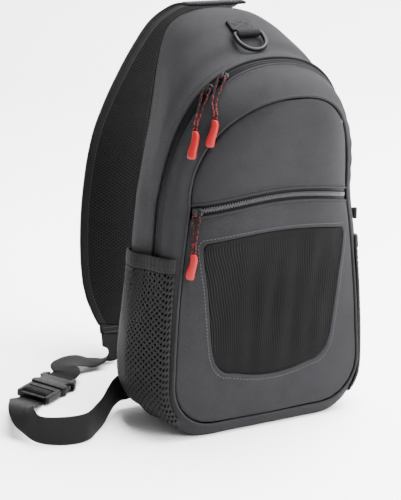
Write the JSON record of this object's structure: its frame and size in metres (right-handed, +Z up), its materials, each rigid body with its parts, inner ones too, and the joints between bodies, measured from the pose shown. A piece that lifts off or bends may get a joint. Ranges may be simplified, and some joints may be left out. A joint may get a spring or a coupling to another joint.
{
  "type": "fishing_tackle_sling_bag",
  "caption": "Grey fishing tackle sling bag with net side pockets, a net window, a wide padded strap over the back, webbing with a side release buckle and red zip pulls",
  "frame": {"origin": "under the middle of the base, on the floor", "axes": "+X to the right seen from the front, +Y to the back where the strap is, +Z up"},
  "size_m": [0.3807, 0.379, 0.4307],
  "materials": {
    "grey_cloth": "plain woven polyester, matt",
    "zip_tape": "black coil zip on woven tape",
    "black_mesh": "thick air mesh",
    "black_net": "knitted net",
    "binding": "ribbed woven tape",
    "webbing": "woven webbing, slightly shiny",
    "cord": "braided black cord with red flecks",
    "black_plastic": "fine grained acetal",
    "black_metal": "black painted cast metal",
    "red_rubber": "matt moulded rubber"
  },
  "bodies": {
    "bag": {"main_shell": "grey_cloth", "front_gusset": "grey_cloth", "main_zip": "zip_tape", "hinge_strip": "grey_cloth", "back_panel": "black_mesh", "front_panel_upper": "grey_cloth", "front_zip": "zip_tape", "front_panel_lower": "grey_cloth", "window_net": "black_net", "side_pocket_left": "black_net", "pocket_hem_left": "binding", "side_pocket_right": "black_net", "pocket_hem_right": "binding", "strap_pad": "grey_cloth", "strap_mesh": "black_mesh", "strap_binding_left": "binding", "strap_binding_right": "binding", "buckle_female": "black_plastic", "buckle_male": "black_plastic", "strap_end_patch": "webbing", "webbing_upper": "webbing", "webbing_lower": "webbing", "anchor_tab": "webbing", "ring_tab": "webbing", "zip_slider_1": "black_metal", "pull_cord_1": "cord", "pull_grip_1": "red_rubber", "zip_slider_2": "black_metal", "pull_cord_2": "cord", "pull_grip_2": "red_rubber", "zip_slider_3": "black_metal", "pull_cord_3": "cord", "pull_grip_3": "red_rubber"},
    "d_ring": {"d_ring": "black_plastic"}
  },
  "joints": [
    {"name": "d_ring_hinge", "type": "hinge", "parent": "bag", "child": "d_ring", "pos_m": [-0.006, -0.0208, 0.40472], "axis": [-1, 0, 0], "range_deg": [0, 175]}
  ]
}
